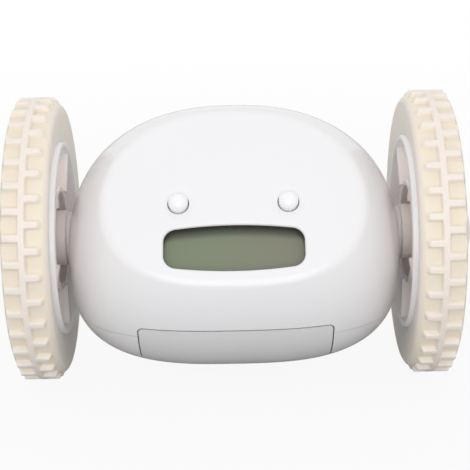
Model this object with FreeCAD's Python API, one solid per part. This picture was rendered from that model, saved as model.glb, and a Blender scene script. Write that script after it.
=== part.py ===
import FreeCAD, Part
import math
import os

from FreeCAD import Placement, Rotation, Vector

# A two-wheeled runaway alarm clock, in millimetres. The wheels turn on the X axis direction and stand
# on z = 0, the face looks towards -Y, and the origin is under the middle of the axle line.

# Body
body_radius = 40.9          # round mid-section, about the axle
body_wall = 2.0
end_room = 10.35            # from the gearbox to the body's end
belly_drop = 4.8            # the body's ends close in on a point this far below the axle
crown_power = 2.3           # superellipse power of the outline over the top
belly_power = 3.0           # and of the outline under the belly
section_count = 8           # sections between the middle and each end
section_points = 24
section_span = 78.0         # degrees of sweep from the middle section to the last one
seam_gap = 0.15             # line between shells
part_gap = 0.3              # between pieces that lie close and don't touch
seam_drop = 20.25           # joint between the shells and the base tray, below the axle
boss_radius = 8.5           # round end of the body that carries the axle
boss_depth = 6.2            # from the body's end inwards
face_distance = 29.9        # flat face, from the axle
face_tilt = 43.0            # degrees that the face looks up
face_round = 4.5            # blend round the face

# Wheels
wheel_radius = 44.5
tyre_clearance = 1.0        # the tyre's inner face, outside the body's end
tyre_width = 13.5
tyre_seat = 30.5            # radius where the tyre sits on the rim
tread_depth = 1.8
rib_width = 1.7
inner_row_width = 4.8
outer_row_width = 4.8
lug_count = 36
lug_width = 2.6
inner_shoulder = 1.7        # bevel beside the inner row
outer_shoulder = 0.5        # and beside the outer row
seat_play = 0.05            # between pieces pushed onto each other
rim_wall = 1.7
rim_stand = 0.4             # the rim's inner edge stands out of the tyre
rim_inset = 1.2             # and its outer edge lies inside the tyre's face
web_inset = 3.8             # behind the rim's inner edge: the web,
collar_inset = 1.7          # the collar around the hub
spoke_inset = 0.7           # and the spokes
web_wall = 1.5
spoke_wall = 1.4
spoke_count = 5
spoke_turn = 266.0          # degrees to the first spoke, 0 is to the rear and 90 up
hub_radius = 8.75
hub_play = 0.6              # between the hub and the body's end
hub_seat = 11.2             # length of the hub on the axle
hub_wall = 1.5
dome_radius = 16.5
dome_height = 12.0
dome_wall = 2.0
dome_inset = 2.9            # the dome's foot, inside the rim's outer edge
cap_radius = 8.3
cap_collar_length = 3.0     # the part of the cap that goes into the hub
rim_edge_round = 0.75       # on both edges of the rim
axle_radius = 1.5
axle_bore_depth = 4.5       # for the screw that holds the wheel
hub_screw_length = 3.0
running_play = 0.05         # radial play of shafts in their bores

# Gear trains, the same on both sides
gear_module = 0.5
pressure_angle = 25.0
tooth_rise = 0.8            # addendum, in modules
tooth_sink = 1.1            # dedendum, in modules
backlash = 0.1
pinion_teeth = 10
first_teeth = 30
second_teeth = 40
output_teeth = 40
gear_face = 3.0
gear_step = 4.0             # from one gear layer to the next
gear_pin_radius = 1.0
second_gear_turn = 20.0     # degrees, from the axle to the second gear, 0 is to the rear
first_gear_turn = -68.0     # from the second gear to the first
motor_turn = -138.0         # from the first gear to the motor
plate_wall = 1.8
gear_clearance = 0.8        # beside the plates
plate_front = 14.5          # the inner plate's reach from the axle, to the front,
plate_rear = 26.0           # to the rear,
plate_top = 11.0            # up
plate_bottom = 26.5         # and down
outer_plate_front = 14.5
outer_plate_rear = 24.0
outer_plate_top = 10.5
outer_plate_bottom = 23.5
post_places = ((-11.5, 7.5), (-8.0, -11.0), (11.0, -19.5))  # from the axle, to the rear and up
post_radius = 2.0
bush_wall = 1.5
screw_radius = 1.0
screw_head_radius = 2.0
screw_head_height = 1.4

# Motors
motor_width = 20.0
motor_flats = 15.0
motor_length = 24.6
motor_wall = 0.8
motor_end_length = 3.6
motor_collar_radius = 3.0
motor_shaft_radius = 1.0
motor_collar_height = 1.5
rotor_radius = 5.4
rotor_length = 13.0

# Face
window_width = 41.4
window_height = 14.5
window_drop = 16.7          # window's middle, below the face's middle line
window_bulge = 1.6          # rise of its upper and lower edges
window_corner = 4.0
window_round = 0.7          # its outer edge
glass_recess = 3.0
glass_wall = 2.0
glass_margin = 1.2
frame_wall = 1.0
connector_width = 1.5
board_wall = 1.6
board_depth = 7.4           # main board's front, behind the face
board_width = 60.0
board_top_edge = 9.5        # above the face's middle line
board_bottom_edge = 26.5    # and below it
board_screw_x = 26.5
board_screw_rise = 5.5
board_screw_length = 5.0
chip_width = 14.0
chip_height = 10.0
chip_wall = 1.5
eye_spacing = 32.6
eye_drop = 2.5
eye_radius = 2.9
eye_hole_radius = 3.25
eye_stand = 2.7             # how far the eyes stand out of the face
eye_dome = 1.45             # height of their round tops
eye_travel = 1.0
eye_dimple_radius = 5.2
eye_dimple_depth = 0.5
flange_width = 1.4          # collars that keep the buttons in
flange_wall = 1.2
switch_size = 6.0
switch_height = 1.8
plunger_radius = 1.6
plunger_height = 0.7

# Rear controls
rear_tilt = 35.0            # degrees that the rear panel looks up
rear_board_distance = 28.0
rear_board_width = 38.0
rear_board_height = 27.0
rear_screw_x = 16.8
rear_screw_drop = 0.5       # below the rear panel's middle line
pilot_play = 1.0            # screw holes go this much deeper than their screws
snooze_width = 28.0
snooze_height = 9.0
snooze_rise = 8.0           # its middle, above the rear panel's middle line
snooze_corner = 3.0
snooze_travel = 0.8
rear_row_drop = 6.0         # row of small controls, below the rear panel's middle line
rear_button_radius = 2.4
rear_button_spacing = 12.0
rear_button_travel = 0.6
rear_stand = 0.9
slider_travel = 2.0
slider_width = 4.0
slider_height = 2.6
buzzer_radius = 7.0
buzzer_height = 5.0
buzzer_drop = 4.5           # below the axle
buzzer_collar_wall = 0.9
grille_hole_radius = 0.8
grille_ring_radius = 3.4
grille_count = 6

# Batteries and their door
cell_radius = 5.25
cell_length = 44.5
cell_nub_radius = 1.9
cell_nub_length = 1.2
cell_count = 4
cell_step = 19.6            # degrees between cells
cell_first_turn = 218.5     # degrees, 180 is to the front and 270 is down
cell_play = 0.8
door_width = 59.0
door_top_drop = 16.5
door_rear_y = 11.0
door_gap = 0.4
door_corner = 2.0           # round of its upper corners
bay_wall = 1.3
contact_wall = 0.4
contact_size = 8.0
contact_space = 1.8         # room for a spring at each end of a cell
spring_width = 5.0
ledge_wall = 1.5

# Case screws
case_screw_radius = 1.2
case_screw_head_radius = 2.2
case_screw_head_height = 1.4
case_boss_radius = 3.5
upper_screw_x = 24.0
upper_screw_rise = 30.0
upper_screw_seat = 7.0      # its head, behind the joint of the shells
upper_screw_length = 13.0
tray_boss_room = 1.45       # from the first gears to the bosses of the base tray
tray_screw_y = 23.0
tray_screw_seat = 2.6       # its head, below the tray's joint
tray_screw_length = 7.0
tray_boss_height = 6.0
tray_pin_length = 3.0       # the tray's front pins, each side of its joint

# Stations along the axle ---------------------------------------------------------------------------
bay_half_length = cell_length / 2 + contact_space
spring_reach = 2 * (contact_space - contact_wall) - seat_play
inner_plate_x = bay_half_length + bay_wall + part_gap
gear_x = inner_plate_x + plate_wall + gear_clearance
outer_plate_x = gear_x + 2 * gear_step + gear_face + gear_clearance
body_half_length = outer_plate_x + plate_wall + end_room
tyre_inner_x = body_half_length + tyre_clearance
tyre_outer_x = tyre_inner_x + tyre_width
rim_x = tyre_inner_x - rim_stand
rim_end_x = tyre_outer_x - rim_inset
web_x = rim_x + web_inset
collar_x = rim_x + collar_inset
dome_x = rim_end_x - dome_inset
hub_x = body_half_length + hub_play
hub_floor_x = hub_x + hub_seat
bush_radius = axle_radius + running_play + bush_wall
boss_x = body_half_length - boss_depth
tray_screw_x = gear_x + gear_face + tray_boss_room + case_boss_radius

axle = Vector(0, 0, wheel_radius)
far = 4 * body_half_length
across = Vector(1, 0, 0)
parts = {}


def polar(turn, reach, x=0.0):
    # A point about the axle. Turn is in degrees, 0 to the rear and 90 up.
    angle = math.radians(turn)
    return axle + Vector(x, reach * math.cos(angle), reach * math.sin(angle))


def mirrored(shape):
    return shape.mirror(Vector(0, 0, 0), across)


def both_sides(shape):
    return Part.makeCompound([shape, mirrored(shape)])


def rod(radius, length, start, direction=across):
    return Part.makeCylinder(radius, length, start, direction)


def tube(outer, inner, length, start, direction=across):
    return rod(outer, length, start, direction).cut(rod(inner, length, start, direction))


def block(x, y, z):
    # A box from its three pairs of limits.
    return Part.makeBox(x[1] - x[0], y[1] - y[0], z[1] - z[0], Vector(x[0], y[0], z[0]))


def turned(points):
    # A solid of revolution about the axle from points of x and radius.
    corners = [axle + Vector(x, 0, radius) for x, radius in points]
    outline = Part.makePolygon(corners + corners[:1])
    return Part.Face(outline).revolve(axle, across, 360)


# Panels: local X runs across, local Y up the panel, local Z out of it, with the origin on the axle.
face_frame = Placement(axle, Rotation(across, 90 - face_tilt))
rear_frame = Placement(axle, Rotation(Vector(0, 0, 1), 180) * Rotation(across, 90 - rear_tilt))


def on(frame, shape):
    placed = shape.copy()
    placed.Placement = frame.multiply(placed.Placement)
    return placed


def pad(width, height, low, high, middle=(0.0, 0.0)):
    # A plate in panel coordinates, from one distance to another.
    x, y = middle
    return block((x - width / 2, x + width / 2), (y - height / 2, y + height / 2), (low, high))


def peg(radius, low, high, middle=(0.0, 0.0)):
    # A round in panel coordinates, from one distance to another.
    return rod(radius, high - low, Vector(middle[0], middle[1], low), Vector(0, 0, 1))


def body_reach(turn, x, inset):
    # Distance of the body's surface from its own centre line, belly_drop below the axle.
    radius = body_radius - inset
    rise = math.sin(turn)
    middle = belly_drop * rise + math.sqrt(radius**2 - (belly_drop * math.cos(turn)) ** 2)
    power = (crown_power + belly_power) / 2 - (belly_power - crown_power) / 2 * rise
    share = abs(x) / (body_half_length - inset)
    return middle * (1 - share**power) ** (1 / power)


def body_solid(inset):
    # The whole egg of the body, this far inside its outer surface.
    wires = []
    for step in range(-section_count, section_count + 1):
        sweep = math.radians(section_span * step / section_count)
        x = (body_half_length - inset) * math.sin(sweep)
        points = []
        for index in range(section_points):
            turn = 2 * math.pi * index / section_points - math.pi / 3
            reach = body_reach(turn, x, inset)
            points.append(axle + Vector(x, reach * math.cos(turn), reach * math.sin(turn) - belly_drop))
        curve = Part.BSplineCurve()
        curve.interpolate(Points=points, PeriodicFlag=True)
        wires.append(Part.Wire(curve.toShape()))
    return Part.makeLoft(wires, True, False)


def faced(inset, rounding=0.0):
    # The body with its flat face cut, and the face's edge blended if a rounding is given.
    front = on(face_frame, pad(far, far, face_distance - inset, far))
    egg = body_solid(inset).cut(front)
    if rounding:
        middle = face_frame.multVec(Vector(0, 0, face_distance - inset))
        flat = min(egg.Faces, key=lambda face: face.CenterOfMass.distanceToPoint(middle))
        egg = egg.makeFillet(rounding, flat.Edges)
    return egg


def sector(inner, outer, low_turn, high_turn, half_width):
    # A ring sector about the axle, the same to both sides of the middle.
    corners = [(inner, -half_width), (outer, -half_width), (outer, half_width), (inner, half_width)]
    points = [polar(low_turn, reach, x) for reach, x in corners]
    return Part.Face(Part.makePolygon(points + points[:1])).revolve(axle, across, high_turn - low_turn)


def rounded(width, height, low, high, middle, corner):
    # A plate in panel coordinates with round corners.
    plate = pad(width, height, low, high, middle)
    uprights = [edge for edge in plate.Edges if abs(edge.tangentAt(edge.FirstParameter).z) > 0.9]
    return plate.makeFillet(corner, uprights)


def save(name, shape):
    parts[name] = shape


# The body's egg at the depths that the pieces need
body_outer = faced(0, face_round)
body_inner = faced(body_wall)
body_fit = faced(body_wall + part_gap)
body_ledge = faced(body_wall + part_gap + ledge_wall)
inside_joint = -seam_gap / 2
seam_z = wheel_radius - seam_drop


# Battery bay ---------------------------------------------------------------------------------------
bay_reach = body_reach(-math.pi / 2, cell_length / 2, body_wall + part_gap) + belly_drop
cell_reach = bay_reach - cell_play - cell_radius
cell_half_turn = math.degrees(math.asin((cell_radius + cell_play) / cell_reach))
cell_turns = [cell_first_turn + index * cell_step for index in range(cell_count)]
bay_low_turn = cell_turns[0] - cell_half_turn
bay_high_turn = cell_turns[-1] + cell_half_turn
bay_inner = cell_reach - cell_radius - cell_play
bay_wall_turn = math.degrees(bay_wall / cell_reach)
door_half = door_width / 2
door_top_z = wheel_radius - door_top_drop


def cell(index):
    # One cell with its nub, its ends turned about for every second one.
    end = 1 if index % 2 else -1
    middle = polar(cell_turns[index], cell_reach, end * (contact_space - contact_wall))
    can_start = middle - across * (end * cell_length / 2)
    can = rod(cell_radius, cell_length - cell_nub_length, can_start, across * end)
    nub_start = middle + across * (end * (cell_length / 2 - cell_nub_length))
    return can.fuse(rod(cell_nub_radius, cell_nub_length, nub_start, across * end)).removeSplitter()


def contact(index, end):
    # The plate at one end of a cell.
    middle = polar(cell_turns[index], cell_reach, end * (bay_half_length - contact_wall / 2))
    half = contact_size / 2
    x = (middle.x - contact_wall / 2, middle.x + contact_wall / 2)
    return block(x, (middle.y - half, middle.y + half), (middle.z - half, middle.z + half)).common(bay_space)


def spring(index):
    # The bowed leaf at the flat end of a cell.
    end = -1 if index % 2 else 1
    foot = polar(cell_turns[index], cell_reach, end * (bay_half_length - contact_wall))
    bow = tube(spring_reach, spring_reach - contact_wall, spring_width, foot, Vector(0, 0, 1))
    top_x = foot.x - end * spring_reach
    near = foot.y - spring_reach, foot.y + spring_reach
    bow = bow.common(block((min(foot.x, top_x), max(foot.x, top_x)), near, (foot.z, foot.z + spring_width)))
    bow.translate(Vector(0, 0, -spring_width / 2))
    return bow


bay_space = sector(bay_inner, body_half_length, bay_low_turn, bay_high_turn, bay_half_length)
bay_turns = (bay_low_turn - bay_wall_turn, bay_high_turn + bay_wall_turn)
bay_block = sector(bay_inner - bay_wall, body_half_length, *bay_turns, bay_half_length + bay_wall)
ledge_block = sector(bay_inner - bay_wall, body_half_length, *bay_turns, door_half + 2 * ledge_wall)


# Body shells ---------------------------------------------------------------------------------------
def column(x, y, low, high, radius=case_boss_radius):
    # An upright round inside the body.
    return rod(radius, high - low, Vector(x, y, low), Vector(0, 0, 1))


def beam(x, rise, start, end, radius=case_boss_radius):
    # A level round that runs from front to rear inside the body.
    return rod(radius, end - start, Vector(x, start, wheel_radius + rise), Vector(0, 1, 0))


def door_form(inset):
    # The space of the door, or the door itself if this is the gap around it.
    x = (inset - door_half, door_half - inset)
    top_z = door_top_z - inset
    form = block(x, (-far, door_rear_y - inset), (-far, top_z))
    corners = [edge for edge in form.Edges if all(abs(spot.Z - top_z) < part_gap for spot in edge.Vertexes)]
    corners = [edge for edge in corners if abs(edge.tangentAt(edge.FirstParameter).y) > 0.9]
    return form.makeFillet(door_corner - inset, corners)


def tray_rounds(end, low, high, radius=case_boss_radius):
    # Uprights at both sides of the base, at its front end (-1) or its rear end (1).
    return both_sides(column(tray_screw_x, end * tray_screw_y, low, high, radius))


wall = body_outer.cut(body_inner)
end_bosses = both_sides(rod(boss_radius, boss_depth, axle + across * boss_x))
front_zone = block((-far, far), (-far, inside_joint), (seam_z, far))
rear_zone = block((-far, far), (-inside_joint, far), (seam_z, far))
tray_zone = block((-far, far), (-far, far), (-far, seam_z - seam_gap))
door_zone = door_form(0)
bush_hole = rod(bush_radius, 2 * far, axle - across * far)
base_bosses = [tray_rounds(end, seam_z, seam_z + tray_boss_height).common(body_outer) for end in (-1, 1)]
tray_screw_end = seam_z - tray_screw_seat + tray_screw_length
tray_pilots = [
    tray_rounds(end, seam_z - part_gap, tray_screw_end + pilot_play, case_screw_radius) for end in (-1, 1)
]


def window(grow=0.0, low=0.0, high=far):
    # The barrel-shaped window of the display.
    half_x = window_width / 2 + grow
    half_y = window_height / 2 + grow
    side_y = half_y - window_bulge
    left_low, right_low = Vector(-half_x, -side_y, low), Vector(half_x, -side_y, low)
    right_high, left_high = Vector(half_x, side_y, low), Vector(-half_x, side_y, low)
    edges = [
        Part.Arc(left_low, Vector(0, -half_y, low), right_low).toShape(),
        Part.makeLine(right_low, right_high),
        Part.Arc(right_high, Vector(0, half_y, low), left_high).toShape(),
        Part.makeLine(left_high, left_low),
    ]
    solid = Part.Face(Part.Wire(edges)).extrude(Vector(0, 0, high - low))
    uprights = [edge for edge in solid.Edges if abs(edge.tangentAt(edge.FirstParameter).z) > 0.9]
    solid = solid.makeFillet(window_corner + grow, uprights)
    solid.translate(Vector(0, -window_drop, 0))
    return solid


eye_places = [(-eye_spacing / 2, -eye_drop), (eye_spacing / 2, -eye_drop)]
face_deep = face_distance - face_round  # behind the wall of the face
dimple_ball = (eye_dimple_radius**2 + eye_dimple_depth**2) / (2 * eye_dimple_depth)
face_cuts = [window(0, face_deep, far)]
for place in eye_places:
    dimple_centre = Vector(place[0], place[1], face_distance + dimple_ball - eye_dimple_depth)
    face_cuts.append(Part.makeSphere(dimple_ball, dimple_centre))
    face_cuts.append(peg(eye_hole_radius, face_deep, far, place))

upper_beams = [beam(x, upper_screw_rise, -far, far) for x in (-upper_screw_x, upper_screw_x)]
upper_bosses = [shape.common(body_outer) for shape in upper_beams]
shell_bosses = Part.makeCompound([end_bosses] + base_bosses + upper_bosses)
screw_start = upper_screw_seat - upper_screw_length
front_cuts = [door_zone, bush_hole] + tray_pilots + [on(face_frame, shape) for shape in face_cuts]
for x in (-upper_screw_x, upper_screw_x):
    front_cuts.append(beam(x, upper_screw_rise, screw_start - pilot_play, part_gap, case_screw_radius))
front_shell = wall.common(front_zone).multiFuse(shell_bosses.common(front_zone).Solids)
front_shell = front_shell.cut(front_cuts)


face_to_local = face_frame.inverse()


def on_window_edge(edge):
    # Whether an edge of the front shell is the outer edge of the display's window.
    spots = [face_to_local.multVec(vertex.Point) for vertex in edge.Vertexes]
    half_height = window_height / 2 + part_gap
    level = all(abs(spot.z - face_distance) < part_gap / 2 for spot in spots)
    return level and all(abs(spot.y + window_drop) < half_height for spot in spots)


window_edges = [edge for edge in front_shell.Edges if on_window_edge(edge)]
front_shell = front_shell.makeFillet(window_round, window_edges)
save("front_shell", front_shell)

rear_board_front = rear_board_distance + board_wall
switch_top = switch_height + plunger_height
snooze_place = (0.0, snooze_rise)
button_places = {"time_button": (-rear_button_spacing, -rear_row_drop), "alarm_button": (0.0, -rear_row_drop)}
slider_place = (rear_button_spacing, -rear_row_drop)
slot_width = slider_width + 2 * slider_travel
buzzer_place = axle + Vector(0, 0, -buzzer_drop)
buzzer_bottom_rise = buzzer_drop + buzzer_radius
buzzer_y = math.sqrt((body_radius - body_wall) ** 2 - buzzer_bottom_rise**2) - part_gap
board_pegs = [(-rear_screw_x, -rear_screw_drop), (rear_screw_x, -rear_screw_drop)]
rear = Vector(0, 1, 0)
grille = [rod(grille_hole_radius, far, buzzer_place, rear)]
for index in range(grille_count):
    angle = 2 * math.pi * index / grille_count
    hole = Vector(grille_ring_radius * math.cos(angle), 0, grille_ring_radius * math.sin(angle))
    grille.append(rod(grille_hole_radius, far, buzzer_place + hole, rear))
snooze_hole = (snooze_width + 2 * part_gap, snooze_height + 2 * part_gap)
rear_cuts = [rounded(*snooze_hole, 0, far, snooze_place, snooze_corner)]
rear_cuts += [peg(rear_button_radius + part_gap, 0, far, place) for place in button_places.values()]
rear_cuts += [pad(slot_width + 2 * part_gap, slider_height + 2 * part_gap, 0, far, slider_place)]

collar_radius = buzzer_radius + part_gap
collar_start = buzzer_place + rear * (buzzer_y - buzzer_height / 2)
rear_extras = [tube(collar_radius + buzzer_collar_wall, collar_radius, far, collar_start, rear)]
rear_cuts = [on(rear_frame, shape) for shape in rear_cuts] + grille + [bush_hole] + tray_pilots
rear_pilot_end = rear_board_distance + board_screw_length + pilot_play
for place in board_pegs:
    rear_extras.append(on(rear_frame, peg(case_screw_head_radius, rear_board_front, far, place)))
    rear_cuts.append(on(rear_frame, peg(screw_radius, 0, rear_pilot_end, place)))
for x in (-upper_screw_x, upper_screw_x):
    rear_cuts.append(beam(x, upper_screw_rise, -part_gap, far, case_screw_radius + part_gap / 2))
    rear_cuts.append(beam(x, upper_screw_rise, upper_screw_seat, far, case_screw_head_radius + part_gap))
rear_bosses = Part.makeCompound(shell_bosses.Solids + [shape.common(body_outer) for shape in rear_extras])
rear_shell = wall.common(rear_zone).multiFuse(rear_bosses.common(rear_zone).Solids)
rear_shell = rear_shell.cut(rear_cuts)
save("rear_shell", rear_shell)

door_seat_zone = tray_zone.cut(block((-door_half, door_half), (-far, far), (-far, far)))
bay = bay_block.common(body_fit).cut(bay_space)
ledge = ledge_block.cut(body_ledge).cut(block((-bay_half_length, bay_half_length), (-far, far), (-far, far)))
ledge = ledge.common(body_fit).fuse(ledge.common(body_outer).common(door_seat_zone))
base_tray = wall.common(tray_zone).cut(door_zone)
tray_bosses = [tray_rounds(end, 0, seam_z - seam_gap).common(body_outer) for end in (-1, 1)]
pin_radius = case_screw_radius - seat_play
tray_pins = tray_rounds(-1, seam_z - tray_pin_length, seam_z + tray_pin_length, pin_radius)
base_tray = base_tray.multiFuse(tray_bosses).multiFuse([bay, ledge, tray_pins])
seat_z = seam_z - tray_screw_seat
base_tray = base_tray.cut(tray_rounds(1, 0, far, case_screw_radius + part_gap / 2))
base_tray = base_tray.cut(tray_rounds(1, -far, seat_z, case_screw_head_radius + part_gap))
save("base_tray", base_tray)

save("battery_door", wall.common(door_form(door_gap)))


# Batteries -----------------------------------------------------------------------------------------
for index in range(cell_count):
    save(f"battery_cell_{index + 1}", cell(index))
plates = [contact(index, end) for index in range(cell_count) for end in (-1, 1)]
save("battery_contacts", Part.makeCompound(plates))
save("battery_springs", Part.makeCompound([spring(index) for index in range(cell_count)]))


# Display, main board and eyes ----------------------------------------------------------------------
glass_top = face_distance - glass_recess
glass_low = glass_top - glass_wall
board_top = face_distance - board_depth
glass_middle = (0.0, -window_drop)
glass_width = window_width + 2 * glass_margin
glass_height = window_height + 2 * glass_margin
glass_block = pad(glass_width, glass_height, glass_low, glass_top, glass_middle)
frame_top = face_distance - body_wall - part_gap
frame_outer = (glass_width + 2 * frame_wall, glass_height + 2 * frame_wall)
frame_block = pad(*frame_outer, board_top, frame_top, glass_middle)
frame_inner = (glass_width + 2 * seat_play, glass_height + 2 * seat_play)
frame_hole = pad(*frame_inner, board_top, frame_top, glass_middle)
connector_rise = glass_height / 2 - connector_width / 2
connectors = [
    pad(window_width, connector_width, board_top, glass_low, (0.0, -window_drop + side * connector_rise))
    for side in (-1, 1)
]
save("display_glass", on(face_frame, glass_block).common(body_fit))
save("display_frame", on(face_frame, frame_block.cut(frame_hole)).common(body_fit))
save("display_connectors", on(face_frame, Part.makeCompound(connectors)).common(body_fit))

board_low = board_top - board_wall
board_height = board_top_edge + board_bottom_edge
board_middle = (0.0, (board_top_edge - board_bottom_edge) / 2)
main_pegs = [(side * board_screw_x, board_screw_rise) for side in (-1, 1)]
board_block = pad(board_width, board_height, board_low, board_top, board_middle)
chip = pad(chip_width, chip_height, board_low - chip_wall, board_low, board_middle)
main_board = on(face_frame, board_block.fuse(chip)).common(body_fit)
save("main_board", main_board.cut([on(face_frame, peg(screw_radius, 0, far, place)) for place in main_pegs]))


def switch(base, place):
    # A small push switch on a board's front.
    body = pad(switch_size, switch_size, base, base + switch_height, place)
    return body.fuse(peg(plunger_radius, base + switch_height, base + switch_top, place)).removeSplitter()


def screw(radius, length, head_radius, head_height, seat, direction):
    # A pan-head screw whose head stands on its seat and whose shank runs back along the direction.
    shank = rod(radius, length, seat - direction * length, direction)
    return shank.fuse(rod(head_radius, head_height, seat, direction)).removeSplitter()


def small_screw(length, seat, direction):
    return screw(screw_radius, length, screw_head_radius, screw_head_height, seat, direction)


def case_screw(length, seat, direction):
    return screw(case_screw_radius, length, case_screw_head_radius, case_screw_head_height, seat, direction)


def board_screw(frame, place, seat, direction):
    # A screw in panel coordinates.
    start = Vector(place[0], place[1], seat)
    turn = Vector(0, 0, direction)
    return on(frame, small_screw(board_screw_length, start, turn))


save("eye_switches", Part.makeCompound([on(face_frame, switch(board_top, place)) for place in eye_places]))


def eye(place):
    # A domed button with a collar behind the face.
    skirt_top = face_distance + eye_stand - eye_dome
    stem = peg(eye_radius, board_top + switch_top + eye_travel + seat_play, skirt_top, place)
    collar_top = face_distance - body_wall - part_gap
    collar = peg(eye_radius + flange_width, collar_top - flange_wall, collar_top, place)
    dome_ball = (eye_radius**2 + eye_dome**2) / (2 * eye_dome)
    ball = Part.makeSphere(dome_ball, Vector(place[0], place[1], skirt_top + eye_dome - dome_ball))
    cap = ball.common(peg(eye_radius, skirt_top, far, place))
    return on(face_frame, stem.multiFuse([collar, cap]).removeSplitter())


save("left_eye_button", eye(eye_places[0]))
save("right_eye_button", eye(eye_places[1]))


# Rear controls -------------------------------------------------------------------------------------
deep = body_solid(body_wall + part_gap + flange_wall)
skin = body_fit.cut(deep)
raised = body_solid(-rear_stand)


def rear_button(shape, collar, place, travel):
    # A button that follows the body's curve, with a collar inside the shell and a stem to its switch.
    cap = on(rear_frame, shape).common(raised).cut(deep)
    rim = on(rear_frame, collar).common(skin)
    stem_low = rear_board_front + switch_top + travel + seat_play
    stem_top = body_radius - body_wall - part_gap
    stem = on(rear_frame, peg(plunger_radius, stem_low, stem_top, place))
    return cap.multiFuse([rim, stem]).removeSplitter()


snooze_shape = rounded(snooze_width, snooze_height, 0, far, snooze_place, snooze_corner)
snooze_collar = pad(snooze_width + flange_width, snooze_height + 2 * flange_width, 0, far, snooze_place)
save("snooze_button", rear_button(snooze_shape, snooze_collar, snooze_place, snooze_travel))
for name, place in button_places.items():
    shape = peg(rear_button_radius, 0, far, place)
    collar = peg(rear_button_radius + flange_width, 0, far, place)
    save(name, rear_button(shape, collar, place, rear_button_travel))

knob_top = math.sqrt(body_radius**2 - rear_row_drop**2)
knob_plate_size = (slot_width + 2 * flange_width, slider_height + 2 * flange_width)
knob_plate = pad(*knob_plate_size, 0, flange_wall, slider_place)
switch_body_height = 2 * switch_height
knob_low = rear_board_front + switch_body_height + seat_play
knob_plate.translate(Vector(0, 0, knob_low))
knob = pad(slider_width, slider_height, knob_low, knob_top + rear_stand, slider_place)
save("mode_slider", on(rear_frame, knob.fuse(knob_plate).removeSplitter()))
rear_board = pad(rear_board_width, rear_board_height, rear_board_distance, rear_board_front)
rear_board = rear_board.cut([peg(screw_radius, 0, far, place) for place in board_pegs])
save("rear_board", on(rear_frame, rear_board))
switch_body_top = rear_board_front + switch_body_height
rear_switches = [switch(rear_board_front, place) for place in [snooze_place, *button_places.values()]]
rear_switches.append(pad(slot_width, switch_size, rear_board_front, switch_body_top, slider_place))
save("rear_switches", Part.makeCompound([on(rear_frame, shape) for shape in rear_switches]))
screws = [board_screw(rear_frame, place, rear_board_distance, -1) for place in board_pegs]
screws += [board_screw(face_frame, place, board_low, -1) for place in main_pegs]
save("board_screws", Part.makeCompound(screws))
buzzer_start = buzzer_place + rear * (buzzer_y - buzzer_height)
save("buzzer", rod(buzzer_radius, buzzer_height, buzzer_start, rear))


# Drive ---------------------------------------------------------------------------------------------
to_side = Rotation(Vector(1, 1, 1), 120)  # turns local Z to X, with local X to the rear and Y up


def tooth_half_angle(radius, base, teeth):
    # Half the angle that a tooth takes up at a radius, for an involute flank.
    pitch = gear_module * teeth / 2
    lean = math.acos(min(1.0, base / radius))
    pitch_lean = math.radians(pressure_angle)
    spread = (math.tan(pitch_lean) - pitch_lean) - (math.tan(lean) - lean)
    return math.pi / (2 * teeth) - backlash / (2 * pitch) + spread


def gear(teeth, start_x, length, centre, tooth_turn):
    # A spur gear whose axle runs along X, with a tooth's middle at this turn about its centre.
    pitch = gear_module * teeth / 2
    tip = pitch + tooth_rise * gear_module
    root = pitch - tooth_sink * gear_module
    base = pitch * math.cos(math.radians(pressure_angle))
    foot = max(root, base)
    levels = [foot, (foot + tip) / 2, tip]
    outline = []
    for tooth in range(teeth):
        middle = math.radians(tooth_turn) + 2 * math.pi * tooth / teeth

        def at(side, radius, shape_radius=None):
            angle = middle + side * tooth_half_angle(shape_radius or radius, base, teeth)
            return Vector(radius * math.cos(angle), radius * math.sin(angle), 0)

        rising = [at(-1, radius) for radius in levels]
        falling = [at(1, radius) for radius in reversed(levels)]
        if root < foot:
            outline.append(Part.makeLine(at(-1, root, foot), rising[0]))
        outline.append(Part.Arc(*rising).toShape())
        outline.append(Part.makeLine(rising[-1], falling[0]))
        outline.append(Part.Arc(*falling).toShape())
        if root < foot:
            outline.append(Part.makeLine(falling[-1], at(1, root, foot)))
        end = at(1, root, foot)
        following = middle + 2 * math.pi / teeth - tooth_half_angle(foot, base, teeth)
        start = Vector(root * math.cos(following), root * math.sin(following), 0)
        outline.append(Part.makeLine(end, start))
    solid = Part.Face(Part.Wire(outline)).extrude(Vector(0, 0, length))
    solid.Placement = Placement(Vector(start_x, centre.y, centre.z), to_side)
    return solid


def mesh_distance(first, second):
    return gear_module * (first + second) / 2


def beyond(centre, turn, distance):
    # The point at this turn and distance from a centre.
    angle = math.radians(turn)
    return centre + Vector(0, distance * math.cos(angle), distance * math.sin(angle))


second_centre = beyond(axle, second_gear_turn, mesh_distance(output_teeth, pinion_teeth))
first_centre = beyond(second_centre, first_gear_turn, mesh_distance(second_teeth, pinion_teeth))
motor_centre = beyond(first_centre, motor_turn, mesh_distance(first_teeth, pinion_teeth))
layer_x = [gear_x + layer * gear_step for layer in range(3)]
pinion_gap = 180.0 + 180.0 / pinion_teeth  # turns a pinion so that a gap faces its partner


def bored(shape, radius, centre):
    return shape.cut(rod(radius, 2 * far, Vector(-far, centre.y, centre.z)))


def compound_gear(wheel_teeth, layer, centre, partner_turn, back_turn):
    # A wheel and the smaller pinion beside it, on one fixed pin.
    wheel = gear(wheel_teeth, layer_x[layer], gear_face, centre, partner_turn)
    pinion = gear(pinion_teeth, layer_x[layer] + gear_face, gear_step, centre, back_turn + pinion_gap)
    return bored(wheel.fuse(pinion), gear_pin_radius + running_play, centre)


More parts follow.
